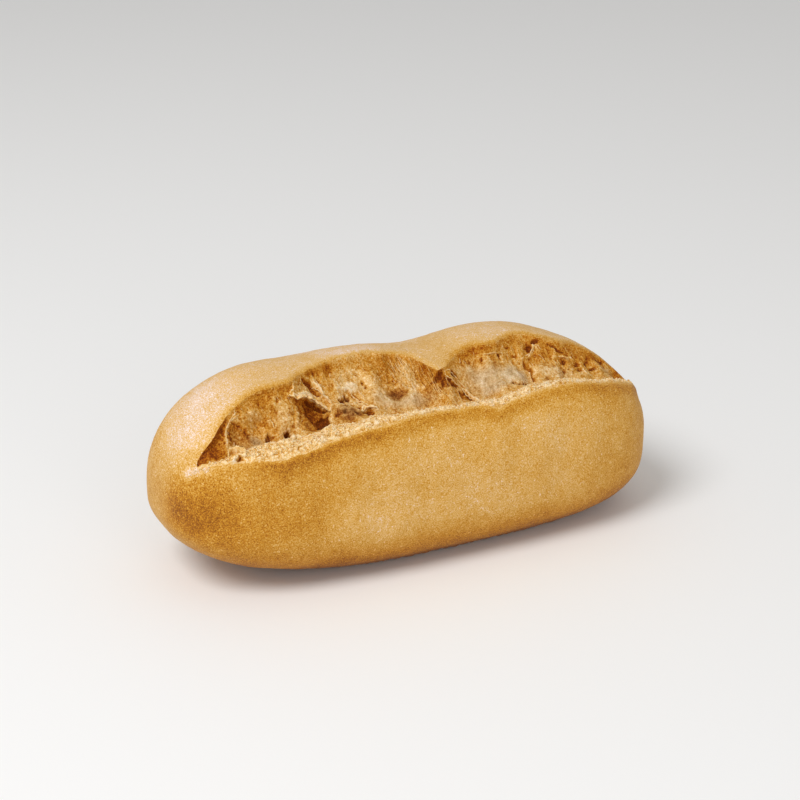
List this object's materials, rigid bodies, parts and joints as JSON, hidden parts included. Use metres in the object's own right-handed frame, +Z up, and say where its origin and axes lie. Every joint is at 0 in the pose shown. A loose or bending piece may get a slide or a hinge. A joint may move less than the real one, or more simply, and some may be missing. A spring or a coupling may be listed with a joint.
{
  "type": "gluten-free baton loaf",
  "caption": "Small baked baton of gluten-free bread, flat underneath, its back torn open lengthwise along joined slashes that show pale crumb.",
  "frame": {"origin": "middle of the flat base that the loaf rests on", "axes": "+X along the loaf, towards the end where the tear runs over the shoulder; +Y across it, away from the low lip of the tear; +Z up"},
  "size_m": [0.15, 0.0636, 0.0564],
  "materials": {
    "crust": "matte"
  },
  "bodies": {
    "root": {"loaf": "crust"}
  },
  "joints": []
}
